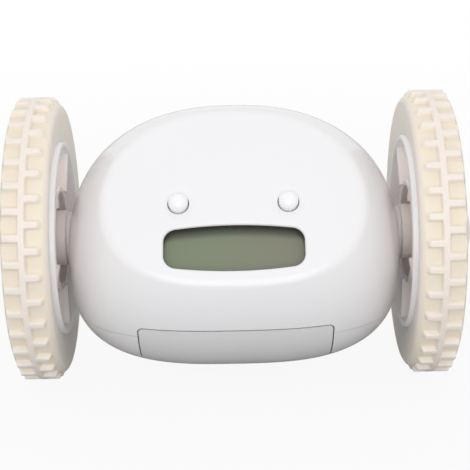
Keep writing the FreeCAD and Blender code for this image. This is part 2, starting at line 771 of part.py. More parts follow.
output_gear = bored(gear(output_teeth, layer_x[2], gear_face, axle, second_gear_turn), axle_radius, axle)
second_gear = compound_gear(second_teeth, 1, second_centre, first_gear_turn, second_gear_turn)
first_gear = compound_gear(first_teeth, 0, first_centre, motor_turn, first_gear_turn)
motor_pinion = gear(pinion_teeth, layer_x[0], gear_face, motor_centre, motor_turn + pinion_gap)
motor_pinion = bored(motor_pinion, motor_shaft_radius, motor_centre)


def pin_at(centre, radius, low, high):
    return rod(radius, high - low, Vector(low, centre.y, centre.z))


def bulkhead(low, front, rear_reach, top, bottom):
    # A plate across the body, trimmed to the inside of the shells.
    y = (axle.y - front, axle.y + rear_reach)
    z = (axle.z - bottom, axle.z + top)
    return block((low, low + plate_wall), y, z).common(body_fit)


posts = [axle + Vector(0, y, z) for y, z in post_places]
outer_plate_end = outer_plate_x + plate_wall
pin_holes = [pin_at(centre, gear_pin_radius, 0, far) for centre in (first_centre, second_centre)]
inner_plate = bulkhead(inner_plate_x, plate_front, plate_rear, plate_top, plate_bottom)
post_rods = [pin_at(post, post_radius, inner_plate_x, outer_plate_x) for post in posts]
inner_plate = inner_plate.multiFuse(post_rods)
inner_plate = inner_plate.cut(pin_holes + [
    pin_at(axle, bush_radius, 0, far),
    pin_at(motor_centre, motor_collar_radius + seat_play, 0, far),
    *[pin_at(post, screw_radius, outer_plate_x - board_screw_length, far) for post in posts],
])
outer_plate_reaches = (outer_plate_front, outer_plate_rear, outer_plate_top, outer_plate_bottom)
outer_plate = bulkhead(outer_plate_x, *outer_plate_reaches)
outer_plate = outer_plate.cut(pin_holes + [
    pin_at(axle, axle_radius + part_gap, 0, far),
    *[pin_at(post, screw_radius + seat_play, 0, far) for post in posts],
])


def motor_form(low, high, inset=0.0):
    # The round-sided, flat-topped form of a small motor.
    half = motor_flats / 2 - inset
    y = (motor_centre.y - far, motor_centre.y + far)
    flats = block((low, high), y, (motor_centre.z - half, motor_centre.z + half))
    return pin_at(motor_centre, motor_width / 2 - inset, low, high).common(flats)


motor_low = inner_plate_x - motor_length
motor_end_x = motor_low + motor_end_length
shaft_hole = pin_at(motor_centre, motor_shaft_radius + running_play, -far, far)
motor_room = motor_form(motor_end_x, inner_plate_x - motor_wall, motor_wall)
motor_can = motor_form(motor_end_x, inner_plate_x).cut(motor_room)
motor_collar = pin_at(motor_centre, motor_collar_radius, inner_plate_x, inner_plate_x + motor_collar_height)
motor_can = motor_can.fuse(motor_collar).cut(shaft_hole)
motor_end = motor_form(motor_low, motor_end_x).cut(shaft_hole)
rotor_start = (motor_end_x + inner_plate_x - rotor_length) / 2
rotor = pin_at(motor_centre, motor_shaft_radius, motor_low, layer_x[0] + gear_face)
windings = pin_at(motor_centre, rotor_radius, rotor_start, rotor_start + rotor_length)
rotor = rotor.fuse(windings).removeSplitter()


# Wheel ---------------------------------------------------------------------------------------------
def dome(radius, height):
    # Half an ellipsoid on the wheel's collar, with its top outwards.
    middle = axle + across * dome_x
    side = middle + Vector(0, 0, radius)
    top = middle + across * height
    ends = (side, top) if radius > height else (top, side)
    curve = Part.ArcOfEllipse(Part.Ellipse(*ends, middle), 0, math.pi / 2).toShape()
    outline = Part.Wire(Part.__sortEdges__([Part.makeLine(middle, side), curve, Part.makeLine(top, middle)]))
    return Part.Face(outline).revolve(axle, across, 360)


def dome_spot(radius):
    # The point of the dome's surface at this radius.
    return axle + Vector(dome_x + dome_height * math.sqrt(1 - (radius / dome_radius) ** 2), 0, radius)


dome_outer = dome(dome_radius, dome_height)
cap_x = dome_spot(cap_radius).x - dome_wall
hub_bore = hub_radius - hub_wall
barrel_radius = tyre_seat - seat_play
barrel_inner = barrel_radius - rim_wall
barrel = tube(barrel_radius, barrel_inner, rim_end_x - rim_x, axle + across * rim_x)
barrel = barrel.makeFillet(rim_edge_round, barrel.Edges)
web_reach = (dome_radius - dome_wall / 2, barrel_inner + rim_wall / 2)
web = tube(web_reach[1], web_reach[0], web_wall, axle + across * web_x)


def spoke(turn):
    # One rib in front of the web, from the collar to the barrel, at this turn about the axle.
    rib = block((rim_x + spoke_inset, web_x + web_wall / 2), web_reach, (-spoke_wall / 2, spoke_wall / 2))
    rib.Placement = Placement(axle, Rotation(across, turn))
    return rib


spokes = [spoke(spoke_turn + 360.0 * index / spoke_count) for index in range(spoke_count)]
collar = tube(dome_radius, dome_radius - dome_wall, dome_x - collar_x, axle + across * collar_x)
dome_shell = dome_outer.cut(dome(dome_radius - dome_wall, dome_height - dome_wall))
hub_post = rod(hub_radius, dome_x - hub_x, axle + across * hub_x)
hub_neck = rod(hub_radius, dome_height, axle + across * dome_x).common(dome_outer)
rim = barrel.multiFuse([web, *spokes, collar, dome_shell, hub_post, hub_neck])
rim = rim.cut([
    rod(axle_radius, far, axle + across * (hub_x - hub_play)),
    rod(hub_bore, far, axle + across * hub_floor_x),
    rod(cap_radius, far, axle + across * cap_x),
])

cap_edge = cap_radius - seat_play
cap_rise = dome_spot(0).x - dome_spot(cap_edge).x
cap_ball = (cap_edge**2 + cap_rise**2) / (2 * cap_rise)
cap_disc = rod(cap_edge, far, axle + across * cap_x)
hub_cap = cap_disc.common(Part.makeSphere(cap_ball, dome_spot(0) - across * cap_ball))
cap_collar_x = cap_x - cap_collar_length
cap_collar = tube(hub_bore - seat_play, hub_bore - hub_wall, cap_collar_length, axle + across * cap_collar_x)
hub_cap = hub_cap.fuse(cap_collar).removeSplitter()

tread_radius = wheel_radius - tread_depth
row_x = tyre_inner_x + inner_shoulder
rib_x = row_x + inner_row_width
outer_row_x = rib_x + rib_width
outer_row_end = outer_row_x + outer_row_width
tyre_points = [
    (tyre_inner_x, tyre_seat),
    (tyre_inner_x, tread_radius - inner_shoulder),
    (row_x, tread_radius),
    (rib_x, tread_radius),
    (rib_x, wheel_radius),
    (outer_row_x, wheel_radius),
    (outer_row_x, tread_radius),
    (outer_row_end, tread_radius),
    (tyre_outer_x, tread_radius - outer_shoulder),
    (tyre_outer_x, tyre_seat),
]


def lug(start_x, width, turn):
    # One bar of the tread with a flat top, at this turn about the axle.
    side = lug_width / 2
    bar = block((start_x, start_x + width), (-side, side), (-wheel_radius, -tread_radius + tread_depth))
    bar.Placement = Placement(axle, Rotation(across, turn))
    return bar


lug_step = 360.0 / lug_count
lugs = [lug(outer_row_x, outer_row_width, index * lug_step) for index in range(lug_count)]
lugs += [lug(row_x, inner_row_width, (index + 0.5) * lug_step) for index in range(lug_count)]
tyre = turned(tyre_points).multiFuse(lugs)

axle_start = inner_plate_x - part_gap
axle_end = hub_floor_x - part_gap
axle_rod = rod(axle_radius, axle_end - axle_start, axle + across * axle_start)
axle_rod = axle_rod.cut(rod(screw_radius, far, axle + across * (axle_end - axle_bore_depth)))
hub_screw = small_screw(hub_screw_length, axle + across * hub_floor_x, across)

wheel_pieces = {"tyre": tyre, "rim": rim, "hub_cap": hub_cap, "axle": axle_rod, "hub_screw": hub_screw}
wheel_pieces["output_gear"] = output_gear
drive_pieces = {"second_gear": second_gear, "first_gear": first_gear, "motor_pinion": motor_pinion}
drive_pieces.update({"motor_rotor": rotor, "motor_can": motor_can, "motor_end_cap": motor_end})
drive_pieces.update({"gearbox_inner_plate": inner_plate, "gearbox_outer_plate": outer_plate})
for name, shape in {**wheel_pieces, **drive_pieces}.items():
    save("right_" + name, shape)
    save("left_" + name, mirrored(shape))


# Shared small pieces -------------------------------------------------------------------------------
end_bush = tube(bush_radius, axle_radius + running_play, boss_depth, axle + across * boss_x)
plate_bush = tube(bush_radius, axle_radius + running_play, plate_wall, axle + across * inner_plate_x)
save("axle_bushes", both_sides(Part.makeCompound([end_bush, plate_bush])))
pin_centres = (first_centre, second_centre)
gear_pins = [pin_at(centre, gear_pin_radius, inner_plate_x, outer_plate_end) for centre in pin_centres]
save("gear_pins", both_sides(Part.makeCompound(gear_pins)))
post_seats = [Vector(outer_plate_end, post.y, post.z) for post in posts]
post_screws = [small_screw(board_screw_length, seat, across) for seat in post_seats]
save("gearbox_screws", both_sides(Part.makeCompound(post_screws)))
case_screws = []
for x in (-upper_screw_x, upper_screw_x):
    seat = axle + Vector(x, upper_screw_seat, upper_screw_rise)
    case_screws.append(case_screw(upper_screw_length, seat, rear))
tray_seat = Vector(tray_screw_x, tray_screw_y, seat_z)
tray_screw = case_screw(tray_screw_length, tray_seat, Vector(0, 0, -1))
save("case_screws", Part.makeCompound(case_screws + both_sides(tray_screw).Solids))

os.makedirs("parts", exist_ok=True)
for name, shape in parts.items():
    shape.exportStep(f"parts/{name}.step")
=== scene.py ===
import math

import bpy
from mathutils import Matrix, Vector


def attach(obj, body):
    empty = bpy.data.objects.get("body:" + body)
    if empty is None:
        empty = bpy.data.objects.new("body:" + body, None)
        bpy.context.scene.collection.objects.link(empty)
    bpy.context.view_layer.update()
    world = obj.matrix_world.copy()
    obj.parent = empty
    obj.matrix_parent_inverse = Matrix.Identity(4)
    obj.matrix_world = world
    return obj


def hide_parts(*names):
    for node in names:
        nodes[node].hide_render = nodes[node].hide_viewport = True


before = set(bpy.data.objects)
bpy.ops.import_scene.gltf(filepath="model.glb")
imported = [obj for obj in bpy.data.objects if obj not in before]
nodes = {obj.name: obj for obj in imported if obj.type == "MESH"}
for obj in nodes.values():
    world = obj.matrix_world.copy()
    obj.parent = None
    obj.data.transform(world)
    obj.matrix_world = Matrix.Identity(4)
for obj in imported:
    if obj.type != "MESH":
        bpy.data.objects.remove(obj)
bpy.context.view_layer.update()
scene = bpy.context.scene
scene.view_settings.view_transform = "Standard"
print("frame loaded,", len(nodes), "nodes")

mm = 0.001
axleHeight = 44.5 * mm
weld = 1e-6  # points nearer than this become one
near = 0.1  # mm, for telling which row or ring a point belongs to


# small helpers for working in the viewport's way

def deselectAll():
    if bpy.context.object and bpy.context.object.mode != "OBJECT":
        bpy.ops.object.mode_set(mode="OBJECT")
    bpy.ops.object.select_all(action="DESELECT")


def selectOnly(piece):
    deselectAll()
    piece.select_set(True)
    bpy.context.view_layer.objects.active = piece


def startEdit(piece):
    selectOnly(piece)
    bpy.ops.object.mode_set(mode="EDIT")


def endEdit():
    bpy.ops.object.mode_set(mode="OBJECT")


def selectFaces(piece, test):
    # picks the faces whose middle and normal pass the test
    bpy.ops.object.mode_set(mode="OBJECT")
    mesh = piece.data
    for vert in mesh.vertices:
        vert.select = False
    for edge in mesh.edges:
        edge.select = False
    count = 0
    for face in mesh.polygons:
        face.select = bool(test(face.center, face.normal))
        count += face.select
    bpy.ops.object.mode_set(mode="EDIT")
    bpy.ops.mesh.select_mode(type="FACE")
    return count


def selectEdges(piece, test):
    # picks the edges whose two ends pass the test
    bpy.ops.object.mode_set(mode="OBJECT")
    mesh = piece.data
    for face in mesh.polygons:
        face.select = False
    for vert in mesh.vertices:
        vert.select = False
    count = 0
    for edge in mesh.edges:
        ends = [mesh.vertices[i].co for i in edge.vertices]
        edge.select = bool(test(*ends))
        count += edge.select
    bpy.ops.object.mode_set(mode="EDIT")
    bpy.ops.mesh.select_mode(type="EDGE")
    return count


def applyPlace(piece):
    selectOnly(piece)
    bpy.ops.object.transform_apply(location=True, rotation=True, scale=True)


def addModifier(piece, kind, **values):
    # adds a modifier, sets it and applies it
    selectOnly(piece)
    bpy.ops.object.modifier_add(type=kind)
    modifier = piece.modifiers[-1]
    for name, value in values.items():
        setattr(modifier, name, value)
    bpy.ops.object.modifier_apply(modifier=modifier.name)


def smooth(piece, degrees):
    selectOnly(piece)
    bpy.ops.object.shade_smooth_by_angle(angle=math.radians(degrees))


def cleanNormals(piece):
    startEdit(piece)
    bpy.ops.mesh.select_all(action="SELECT")
    bpy.ops.mesh.remove_doubles(threshold=weld)
    bpy.ops.mesh.normals_make_consistent(inside=False)
    endEdit()


def turnProfile(name, stations, segments):
    # pulls a ring of edges through stations of x and radius, in mm, about the axle line
    x, radius = stations[0]
    deselectAll()
    bpy.ops.mesh.primitive_circle_add(
        vertices=segments, radius=radius * mm, fill_type="NOTHING",
        location=(x * mm, 0, axleHeight), rotation=(0, math.pi / 2, 0))
    piece = bpy.context.object
    piece.name = name
    applyPlace(piece)
    startEdit(piece)
    bpy.ops.mesh.select_all(action="SELECT")
    for nextX, nextRadius in stations[1:]:
        bpy.ops.mesh.extrude_edges_move(TRANSFORM_OT_translate={"value": ((nextX - x) * mm, 0, 0)})
        if abs(nextRadius - radius) > 1e-9:
            grow = nextRadius / radius
            bpy.ops.transform.resize(value=(1, grow, grow), center_override=(0, 0, axleHeight))
        x, radius = nextX, nextRadius
    bpy.ops.mesh.select_all(action="SELECT")
    bpy.ops.mesh.remove_doubles(threshold=weld)
    endEdit()
    return piece


def mirrorCopy(piece, name):
    # the same piece for the left side, with a mesh of its own
    selectOnly(piece)
    bpy.ops.object.duplicate()
    other = bpy.context.object
    other.name = name
    startEdit(other)
    bpy.ops.mesh.select_all(action="SELECT")
    bpy.ops.transform.resize(value=(-1, 1, 1), center_override=(0, 0, 0))
    bpy.ops.mesh.normals_make_consistent(inside=False)
    endEdit()
    return other


# small helpers for shader trees

floatSocket = "NodeSocketFloat"
colourSocket = "NodeSocketColor"
vectorSocket = "NodeSocketVector"


def newGroup(name, inputs, outputs):
    group = bpy.data.node_groups.new(name, "ShaderNodeTree")
    for label, kind, value in inputs:
        socket = group.interface.new_socket(name=label, in_out="INPUT", socket_type=kind)
        socket.default_value = value
    for label, kind in outputs:
        group.interface.new_socket(name=label, in_out="OUTPUT", socket_type=kind)
    start = group.nodes.new("NodeGroupInput")
    end = group.nodes.new("NodeGroupOutput")
    start.location = (-900, 0)
    end.location = (700, 0)
    return group, start, end


def place(tree, kind, x, y, **values):
    node = tree.nodes.new(kind)
    node.location = (x, y)
    for name, value in values.items():
        setattr(node, name, value)
    return node


def mathNode(tree, kind, first, second, x, y):
    # each input is a socket or a plain number
    node = place(tree, "ShaderNodeMath", x, y, operation=kind)
    for index, value in enumerate((first, second)):
        if value is None:
            continue
        if isinstance(value, (int, float)):
            node.inputs[index].default_value = value
        else:
            tree.links.new(value, node.inputs[index])
    return node.outputs[0]


def rangeNode(tree, value, low, high, x, y, **values):
    # 0 at the low value and 1 at the high one
    node = place(tree, "ShaderNodeMapRange", x, y, **values)
    node.inputs["From Min"].default_value = low
    node.inputs["From Max"].default_value = high
    tree.links.new(value, node.inputs["Value"])
    return node


def mixTones(tree, factor, first, second, x, y, **values):
    # each tone is a socket or a colour
    node = place(tree, "ShaderNodeMix", x, y, data_type="RGBA", **values)
    for label, value in (("Factor", factor), ("A", first), ("B", second)):
        if isinstance(value, (float, tuple)):
            node.inputs[label].default_value = value
        else:
            tree.links.new(value, node.inputs[label])
    return node.outputs["Result"]


def linear(red, green, blue):
    # a colour as it is seen, given in steps of 255
    def channel(value):
        value /= 255
        return value / 12.92 if value <= 0.04045 else ((value + 0.055) / 1.055) ** 2.4
    return (channel(red), channel(green), channel(blue), 1.0)


# shader groups that several finishes share

def toneAndRough(group, start, toneFrom, roughFrom):
    # mixes a group's two tones by one noise and its two roughnesses by another
    tone = mixTones(group, toneFrom, start.outputs["Tone"], start.outputs["Tone Two"], -200, 300)
    rough = place(group, "ShaderNodeMapRange", -200, 50)
    group.links.new(roughFrom, rough.inputs["Value"])
    group.links.new(start.outputs["Rough Low"], rough.inputs["To Min"])
    group.links.new(start.outputs["Rough High"], rough.inputs["To Max"])
    return tone, rough.outputs["Result"]


def mouldedSkin():
    # faint waves and pores of moulded plastic, for colour, roughness and normal
    skin = {"finer": 22.0, "wavesDetail": 2.0, "poresDetail": 3.0, "wavesHeight": 0.6, "poresHeight": 0.1}
    group, start, end = newGroup("mouldedSkin", [
        ("Scale", floatSocket, 60.0), ("Waves", floatSocket, 0.02), ("Pores", floatSocket, 0.02),
        ("Rough Low", floatSocket, 0.2), ("Rough High", floatSocket, 0.3),
        ("Tone", colourSocket, (0.8, 0.8, 0.8, 1)), ("Tone Two", colourSocket, (0.8, 0.8, 0.8, 1)),
    ], [("Color", colourSocket), ("Roughness", floatSocket), ("Normal", vectorSocket)])
    link = group.links.new
    coords = place(group, "ShaderNodeTexCoord", -1100, -200)
    waves = place(group, "ShaderNodeTexNoise", -600, 200)
    pores = place(group, "ShaderNodeTexNoise", -600, -150)
    waves.inputs["Detail"].default_value = skin["wavesDetail"]
    pores.inputs["Detail"].default_value = skin["poresDetail"]
    link(coords.outputs["Object"], waves.inputs["Vector"])
    link(coords.outputs["Object"], pores.inputs["Vector"])
    link(start.outputs["Scale"], waves.inputs["Scale"])
    finer = mathNode(group, "MULTIPLY", start.outputs["Scale"], skin["finer"], -800, -150)
    link(finer, pores.inputs["Scale"])
    tone, rough = toneAndRough(group, start, waves.outputs["Fac"], pores.outputs["Fac"])
    wavesBump = place(group, "ShaderNodeBump", 100, -100)
    wavesBump.inputs["Distance"].default_value = skin["wavesHeight"] * mm
    poresBump = place(group, "ShaderNodeBump", 350, -200)
    poresBump.inputs["Distance"].default_value = skin["poresHeight"] * mm
    link(waves.outputs["Fac"], wavesBump.inputs["Height"])
    link(start.outputs["Waves"], wavesBump.inputs["Strength"])
    link(pores.outputs["Fac"], poresBump.inputs["Height"])
    link(start.outputs["Pores"], poresBump.inputs["Strength"])
    link(wavesBump.outputs["Normal"], poresBump.inputs["Normal"])
    link(tone, end.inputs["Color"])
    link(rough, end.inputs["Roughness"])
    link(poresBump.outputs["Normal"], end.inputs["Normal"])
    return group


def brushedLines():
    # lines drawn along X, for the colour, roughness and normal of metal
    brush = {"stretch": (0.08, 1.0, 1.0), "detail": 4.0, "height": 0.05}
    group, start, end = newGroup("brushedLines", [
        ("Scale", floatSocket, 900.0), ("Depth", floatSocket, 0.1),
        ("Rough Low", floatSocket, 0.25), ("Rough High", floatSocket, 0.4),
        ("Tone", colourSocket, (0.6, 0.6, 0.6, 1)), ("Tone Two", colourSocket, (0.5, 0.5, 0.5, 1)),
    ], [("Color", colourSocket), ("Roughness", floatSocket), ("Normal", vectorSocket)])
    link = group.links.new
    coords = place(group, "ShaderNodeTexCoord", -1100, -200)
    stretch = place(group, "ShaderNodeMapping", -850, -200)
    stretch.inputs["Scale"].default_value = brush["stretch"]
    lines = place(group, "ShaderNodeTexNoise", -600, 0)
    lines.inputs["Detail"].default_value = brush["detail"]
    link(coords.outputs["Object"], stretch.inputs["Vector"])
    link(stretch.outputs["Vector"], lines.inputs["Vector"])
    link(start.outputs["Scale"], lines.inputs["Scale"])
    tone, rough = toneAndRough(group, start, lines.outputs["Fac"], lines.outputs["Fac"])
    bump = place(group, "ShaderNodeBump", 200, -150)
    bump.inputs["Distance"].default_value = brush["height"] * mm
    link(lines.outputs["Fac"], bump.inputs["Height"])
    link(start.outputs["Depth"], bump.inputs["Strength"])
    link(tone, end.inputs["Color"])
    link(rough, end.inputs["Roughness"])
    link(bump.outputs["Normal"], end.inputs["Normal"])
    return group


def wheelBand():
    # 0 inside one radius about the axle line and 1 outside another
    group, start, end = newGroup("wheelBand", [
        ("Low", floatSocket, 0.04), ("High", floatSocket, 0.05),
    ], [("Mask", floatSocket)])
    link = group.links.new
    coords = place(group, "ShaderNodeTexCoord", -1100, 0)
    centre = place(group, "ShaderNodeMapping", -850, 0)
    centre.inputs["Location"].default_value = (0, 0, -axleHeight)
    centre.inputs["Scale"].default_value = (0, 1, 1)
    radius = place(group, "ShaderNodeVectorMath", -600, 0, operation="LENGTH")
    band = place(group, "ShaderNodeMapRange", -300, 0)
    link(coords.outputs["Object"], centre.inputs["Vector"])
    link(centre.outputs["Vector"], radius.inputs[0])
    link(radius.outputs["Value"], band.inputs["Value"])
    link(start.outputs["Low"], band.inputs["From Min"])
    link(start.outputs["High"], band.inputs["From Max"])
    link(band.outputs["Result"], end.inputs["Mask"])
    return group


skinGroup = mouldedSkin()
metalGroup = brushedLines()
bandGroup = wheelBand()
print("shader groups made")


def newMaterial(name):
    material = bpy.data.materials.new(name)
    material.use_nodes = True
    return material, material.node_tree, material.node_tree.nodes["Principled BSDF"]


def groupMaterial(name, group, tones, rough, values):
    # colour, roughness and normal come from one shared group
    material, tree, shader = newMaterial(name)
    skin = place(tree, "ShaderNodeGroup", -400, 0, node_tree=group)
    skin.inputs["Tone"].default_value = linear(*tones[0])
    skin.inputs["Tone Two"].default_value = linear(*tones[1])
    skin.inputs["Rough Low"].default_value = rough[0]
    skin.inputs["Rough High"].default_value = rough[1]
    for label, value in values.items():
        skin.inputs[label].default_value = value
    tree.links.new(skin.outputs["Color"], shader.inputs["Base Color"])
    tree.links.new(skin.outputs["Roughness"], shader.inputs["Roughness"])
    tree.links.new(skin.outputs["Normal"], shader.inputs["Normal"])
    return material, shader


def plasticMaterial(name, tones, rough, scale=60.0, waves=0.02, pores=0.02,
                    coat=0.0, coatRough=0.04, scatter=0.0, depths=()):
    # the coat is a thin gloss, and the scatter's depths are in mm for red, green and blue
    values = {"Scale": scale, "Waves": waves, "Pores": pores}
    material, shader = groupMaterial(name, skinGroup, tones, rough, values)
    if coat:
        shader.inputs["Coat Weight"].default_value = coat
        shader.inputs["Coat Roughness"].default_value = coatRough
    if scatter:
        shader.inputs["Subsurface Weight"].default_value = scatter
        shader.inputs["Subsurface Radius"].default_value = [depth * mm for depth in depths]
        shader.inputs["Subsurface Scale"].default_value = 1.0
    return material


def metalMaterial(name, tones, rough, scale=900.0, depth=0.1):
    material, shader = groupMaterial(name, metalGroup, tones, rough, {"Scale": scale, "Depth": depth})
    shader.inputs["Metallic"].default_value = 1.0
    return material


def bandTone(material, tone, low, high, upTo):
    # another tone inside a radius about the axle line, up to a distance from the middle of the clock
    tree = material.node_tree
    colour = tree.nodes["Principled BSDF"].inputs["Base Color"]
    before = colour.links[0].from_socket
    band = place(tree, "ShaderNodeGroup", -700, 300, node_tree=bandGroup)
    band.inputs["Low"].default_value = low * mm
    band.inputs["High"].default_value = high * mm
    split = place(tree, "ShaderNodeSeparateXYZ", -900, 500)
    coords = place(tree, "ShaderNodeTexCoord", -1100, 500)
    tree.links.new(coords.outputs["Object"], split.inputs["Vector"])
    distance = mathNode(tree, "ABSOLUTE", split.outputs["X"], None, -700, 500)
    outer = mathNode(tree, "GREATER_THAN", distance, upTo * mm, -500, 500)
    mask = mathNode(tree, "MAXIMUM", band.outputs["Mask"], outer, -350, 400)
    tree.links.new(mixTones(tree, mask, linear(*tone), before, -150, 250), colour)


# the flat panel leans back, and its window lies below its middle
panel = {"tilt": 47.0, "windowDrop": 16.7}


def panelPlaces(tree, x, y):
    # places on the panel: across, up from the window's middle, and out from the axle line
    turn = math.radians(panel["tilt"])
    coords = place(tree, "ShaderNodeTexCoord", x, y)
    middle = place(tree, "ShaderNodeVectorMath", x + 200, y, operation="SUBTRACT")
    middle.inputs[1].default_value = (0, 0, axleHeight)
    tree.links.new(coords.outputs["Object"], middle.inputs[0])
    split = place(tree, "ShaderNodeSeparateXYZ", x + 400, y + 150)
    tree.links.new(middle.outputs["Vector"], split.inputs["Vector"])
    found = []
    directions = ((0, math.cos(turn), math.sin(turn)), (0, -math.sin(turn), math.cos(turn)))
    for index, direction in enumerate(directions):
        dot = place(tree, "ShaderNodeVectorMath", x + 400, y - 150 * index, operation="DOT_PRODUCT")
        dot.inputs[1].default_value = direction
        tree.links.new(middle.outputs["Vector"], dot.inputs[0])
        found.append(dot.outputs["Value"])
    lifted = mathNode(tree, "ADD", found[0], panel["windowDrop"] * mm, x + 600, y)
    return split.outputs["X"], lifted, found[1]


# painted shade on the walls of the window: darkest at the edge, with its places on the panel in mm
wallShade = {
    "edge": (16, 17, 15), "deep": (102, 105, 92), "halfWidth": 21.3, "halfHeight": 8.0,
    "low": 26.4, "deepTo": 27.7, "edgeFrom": 28.2, "top": 29.15,
}


def shadeWindowWalls(material):
    g = wallShade
    tree = material.node_tree
    across, up, out = panelPlaces(tree, -1900, 700)
    side = mathNode(tree, "ABSOLUTE", across, None, -1100, 900)
    height = mathNode(tree, "ABSOLUTE", up, None, -1100, 750)
    inWidth = mathNode(tree, "LESS_THAN", side, g["halfWidth"] * mm, -900, 900)
    inHeight = mathNode(tree, "LESS_THAN", height, g["halfHeight"] * mm, -900, 750)
    below = mathNode(tree, "LESS_THAN", out, g["top"] * mm, -900, 600)
    above = mathNode(tree, "GREATER_THAN", out, g["low"] * mm, -900, 450)
    inWindow = mathNode(tree, "MULTIPLY", inWidth, inHeight, -700, 800)
    inWall = mathNode(tree, "MULTIPLY", below, above, -700, 550)
    mask = mathNode(tree, "MULTIPLY", inWindow, inWall, -500, 650)
    depth = rangeNode(tree, out, g["deepTo"] * mm, g["edgeFrom"] * mm, -700, 1000)
    # the wall's tone is painted shade of the recess, darkest near the face and less dark deeper in
    wall = mixTones(tree, depth.outputs["Result"], linear(*g["deep"]), linear(*g["edge"]), -400, 850)
    colour = tree.nodes["Principled BSDF"].inputs["Base Color"]
    before = colour.links[0].from_socket
    tree.links.new(mixTones(tree, mask, before, wall, -150, 500), colour)


# tones in steps of 255, roughness from and to, and what differs from the usual skin
bodySkin = {
    "tones": ((243, 242, 244), (240, 239, 241)), "rough": (0.2, 0.27), "scale": 30,
    "waves": 0.015, "pores": 0.006, "coat": 0.2,
}
plastics = {
    "shellWhite": bodySkin,
    "faceWhite": bodySkin,
    # the door's tones are darker than the shell's white: painted shade, as the door faces down
    "doorShadedWhite": {"tones": ((232, 232, 233), (228, 228, 229)), "rough": (0.2, 0.28), "scale": 35,
                  "waves": 0.015, "pores": 0.015, "coat": 0.15},
    # the buttons' tones are lighter than the shell's white: painted light that offsets the shade on their
    # domes
    "buttonLitWhite": {"tones": ((250, 249, 252), (248, 247, 249)), "rough": (0.2, 0.27), "scale": 80,
                    "pores": 0.01, "coat": 0.3},
    "rimWhite": {"tones": ((250, 248, 250), (247, 245, 247)), "rough": (0.25, 0.36), "scale": 45,
                 "coat": 0.1},
    "tyreCream": {"tones": ((243, 234, 226), (239, 230, 221)), "rough": (0.42, 0.58), "scale": 70,
                  "waves": 0.03, "pores": 0.12, "scatter": 0.5, "depths": (2.6, 2.0, 1.4)},
    "controlGrey": {"tones": ((120, 122, 126), (112, 114, 118)), "rough": (0.45, 0.6), "pores": 0.15},
    "innerPlastic": {"tones": ((226, 226, 222), (219, 219, 214)), "rough": (0.4, 0.55), "pores": 0.08},
    "gearPlastic": {"tones": ((238, 236, 228), (232, 229, 220)), "rough": (0.3, 0.45), "pores": 0.04},
    "boardGreen": {"tones": ((34, 96, 58), (28, 86, 50)), "rough": (0.25, 0.4), "scale": 200,
                   "pores": 0.08, "coat": 0.3},
    "switchBlack": {"tones": ((38, 38, 41), (32, 32, 34)), "rough": (0.4, 0.55), "pores": 0.12},
    "rubberGrey": {"tones": ((92, 92, 94), (84, 84, 86)), "rough": (0.6, 0.75), "pores": 0.15},
}
metals = {
    "steelBright": {"tones": ((198, 199, 203), (182, 183, 187)), "rough": (0.22, 0.36)},
    "motorSteel": {"tones": ((190, 192, 194), (172, 174, 176)), "rough": (0.3, 0.46), "scale": 500},
    "contactNickel": {"tones": ((214, 212, 206), (200, 198, 192)), "rough": (0.15, 0.3)},
    "bushBrass": {"tones": ((206, 172, 104), (190, 154, 88)), "rough": (0.25, 0.4)},
}
# tones by place, where all but the side walls' tone are painted shade: the radius where each starts to fade
# and where it ends, and how far it reaches along X
bands = [
    # the pocket floors' tone is painted shade, darker and warmer at the bottom of the pockets
    ("tyreCream", (241, 231, 214), 42.9, 43.7, 100),  # floors of the tread's pockets
    ("tyreCream", (240, 232, 222), 42.0, 42.5, 100),  # side walls
    # the web's and the hub's warm tones are painted shade, only on the inner side that faces the body
    ("rimWhite", (254, 246, 241), 28.0, 28.7, 60),  # web and ribs
    ("rimWhite", (254, 243, 236), 9.2, 10.2, 60),  # hub
]
materials = {name: plasticMaterial(name, **values) for name, values in plastics.items()}
for name, values in metals.items():
    materials[name] = metalMaterial(name, **values)
shadeWindowWalls(materials["faceWhite"])
for name, *band in bands:
    bandTone(materials[name], *band)


# the blank display under its clear cover, with painted shadow of the window's recess along its curved upper
# edge, thinning down the sides
display = {
    "left": (118, 132, 104), "right": (126, 125, 107), "sweep": 22, "shadowTone": (80, 83, 70),
    "halfWidth": 20.7, "top": 6.4, "bulge": 1.6, "dark": 0.2, "clear": 2.4,
    "sideShare": 1.6, "lowerShare": 0.4, "blend": 1.5, "grainScale": 700.0, "grain": 0.06,
    "rough": 0.35, "coat": 0.5, "coatRough": 0.12,
}


